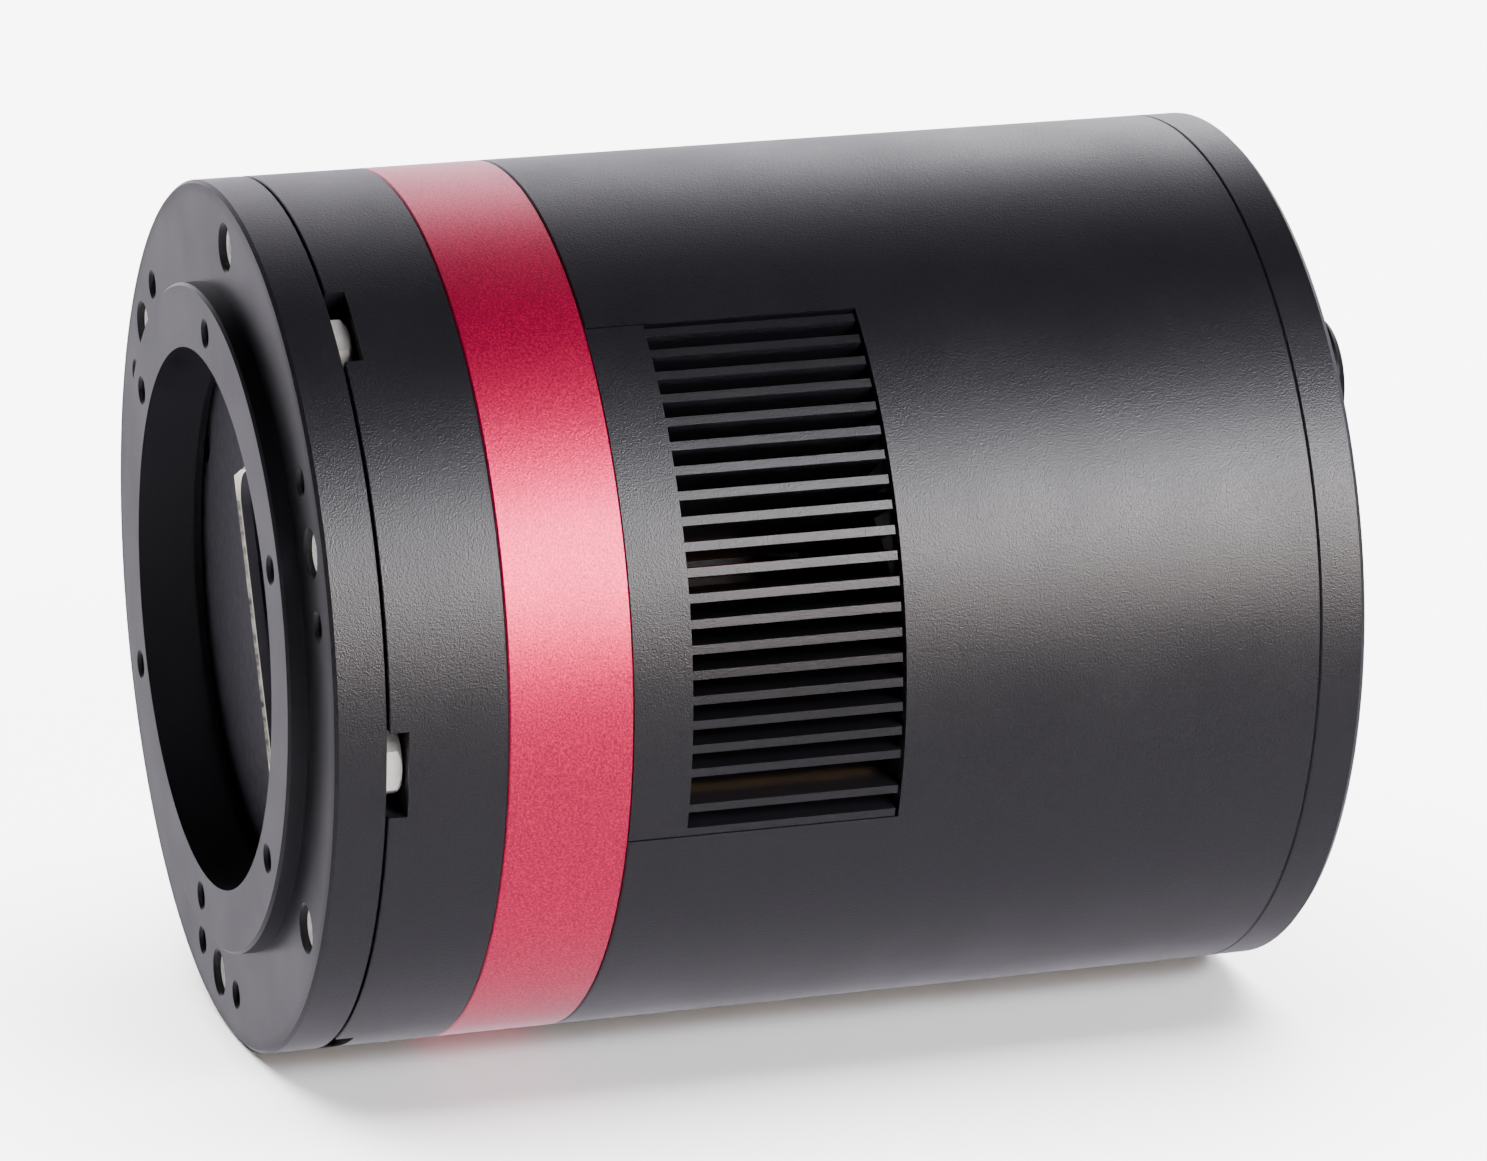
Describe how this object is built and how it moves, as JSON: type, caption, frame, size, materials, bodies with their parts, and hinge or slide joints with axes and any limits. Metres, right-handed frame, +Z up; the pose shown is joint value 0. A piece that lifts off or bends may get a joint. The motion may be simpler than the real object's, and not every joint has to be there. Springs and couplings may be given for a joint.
{
  "type": "cooled astronomy camera",
  "caption": "Round cooled camera for a telescope, with a tilting front plate, a window over the sensor, finned side vents, a fan behind a rear grille and rear ports.",
  "frame": {"origin": "centre of the front mounting face, on the optical axis", "axes": "+Y runs back along the optical axis from the mounting face to the ports, +Z is up with the ports at the top, +X is to the right seen from the front"},
  "size_m": [0.09, 0.1162, 0.09],
  "materials": {
    "black_anodised": "bead-blasted, black anodised",
    "grey_anodised": "satin, dark grey anodised",
    "red_anodised": "satin, red anodised",
    "black_screws": "black oxide",
    "stainless": "satin",
    "nickel": "bright nickel plate",
    "seal_rubber": "matte",
    "window_glass": "clear, coated",
    "sensor_ceramic": "matte dark ceramic",
    "silicon": "polished",
    "white_ceramic": "matte white ceramic",
    "circuit_board": "solder mask",
    "nylon": "natural",
    "copper": "bare copper",
    "foam": "closed-cell foam",
    "brass": "turned",
    "gold": "gold plate",
    "black_plastic": "moulded",
    "black_collar": "black chrome",
    "blue_plastic": "moulded",
    "red_light": "clear red",
    "desiccant": "pressed tablet",
    "polyimide": "film",
    "red_wire": "insulation",
    "black_wire": "insulation"
  },
  "bodies": {
    "camera": {"front_housing": "black_anodised", "body_tube": "black_anodised", "heat_sink": "black_anodised", "rear_cover": "black_anodised", "window_frame": "grey_anodised", "red_band": "red_anodised", "window_frame_screws": "black_screws", "rear_cover_screws": "black_screws", "fan_screws": "black_screws", "sensor_screws": "stainless", "heat_sink_screws": "stainless", "usb_shell": "nickel", "dc_collar": "nickel", "dc_pin": "nickel", "window_seal": "seal_rubber", "window_glass": "window_glass", "sensor_cover_glass": "window_glass", "sensor_package": "sensor_ceramic", "sensor_die": "silicon", "cold_tec": "white_ceramic", "hot_tec": "white_ceramic", "sensor_board": "circuit_board", "main_board": "circuit_board", "interface_board": "circuit_board", "sensor_pillars": "nylon", "cold_finger": "copper", "fan_stator": "copper", "insulation_foam": "foam", "tie_rods": "brass", "mid_standoffs": "brass", "rear_standoffs": "brass", "fan_bearing": "brass", "wheel_socket_pins": "gold", "fan_frame": "black_plastic", "dc_body": "black_plastic", "wheel_socket_insert": "black_plastic", "main_board_chips": "black_plastic", "interface_parts": "black_plastic", "wheel_socket_shell": "black_collar", "usb_tongue": "blue_plastic", "status_light": "red_light", "ribbon_cable": "polyimide", "tec_wire_red": "red_wire", "fan_lead": "red_wire", "tec_wire_black": "black_wire"},
    "front_plate": {"front_plate": "black_anodised", "plate_screws": "nickel"},
    "tilt_seal": {"tilt_seal": "seal_rubber"},
    "fan_rotor": {"fan_rotor": "black_plastic"},
    "desiccant_seal": {"desiccant_seal": "seal_rubber"},
    "desiccant_plug": {"desiccant_plug": "nickel", "desiccant_tablets": "desiccant"},
    "jack_screw_1": {"jack_screw_1": "nickel"},
    "jack_screw_2": {"jack_screw_2": "nickel"},
    "jack_screw_3": {"jack_screw_3": "nickel"},
    "jack_screw_4": {"jack_screw_4": "nickel"},
    "jack_screw_5": {"jack_screw_5": "nickel"},
    "jack_screw_6": {"jack_screw_6": "nickel"}
  },
  "joints": [
    {"name": "tilt_up_down", "type": "hinge", "parent": "camera", "child": "tilt_seal", "pos_m": [0, 0.00735, 0], "axis": [1, 0, 0], "range_deg": [-0.2, 0.2]},
    {"name": "tilt_left_right", "type": "hinge", "parent": "tilt_seal", "child": "front_plate", "pos_m": [0, 0.00735, 0], "axis": [0, 0, 1], "range_deg": [-0.2, 0.2]},
    {"name": "jack_screw_1_turn", "type": "hinge", "parent": "front_plate", "child": "jack_screw_1", "pos_m": [0.02351, 0.0073, 0.03236], "axis": [0, 1, 0], "range_deg": [-72, 72]},
    {"name": "jack_screw_2_turn", "type": "hinge", "parent": "front_plate", "child": "jack_screw_2", "pos_m": [-0.01627, 0.0073, 0.03654], "axis": [0, 1, 0], "range_deg": [-72, 72]},
    {"name": "jack_screw_3_turn", "type": "hinge", "parent": "front_plate", "child": "jack_screw_3", "pos_m": [-0.03978, 0.0073, 0.00418], "axis": [0, 1, 0], "range_deg": [-72, 72]},
    {"name": "jack_screw_4_turn", "type": "hinge", "parent": "front_plate", "child": "jack_screw_4", "pos_m": [-0.02351, 0.0073, -0.03236], "axis": [0, 1, 0], "range_deg": [-72, 72]},
    {"name": "jack_screw_5_turn", "type": "hinge", "parent": "front_plate", "child": "jack_screw_5", "pos_m": [0.01627, 0.0073, -0.03654], "axis": [0, 1, 0], "range_deg": [-72, 72]},
    {"name": "jack_screw_6_turn", "type": "hinge", "parent": "front_plate", "child": "jack_screw_6", "pos_m": [0.03978, 0.0073, -0.00418], "axis": [0, 1, 0], "range_deg": [-72, 72]},
    {"name": "fan_spin", "type": "hinge", "parent": "camera", "child": "fan_rotor", "pos_m": [-0.00028, 0.1, -0.008], "axis": [0, 1, 0], "continuous": true},
    {"name": "desiccant_slide", "type": "slide", "parent": "camera", "child": "desiccant_seal", "axis": [-0.9877, 0, -0.1564], "range_m": [0, 0.004]},
    {"name": "desiccant_turn", "type": "hinge", "parent": "desiccant_seal", "child": "desiccant_plug", "pos_m": [0, 0.0146, 0], "axis": [-0.9877, 0, -0.1564], "range_deg": [0, 1440]}
  ],
  "couplings": [
    {"joint": "desiccant_turn", "follows": "desiccant_slide", "rad_per_m": 6283}
  ]
}
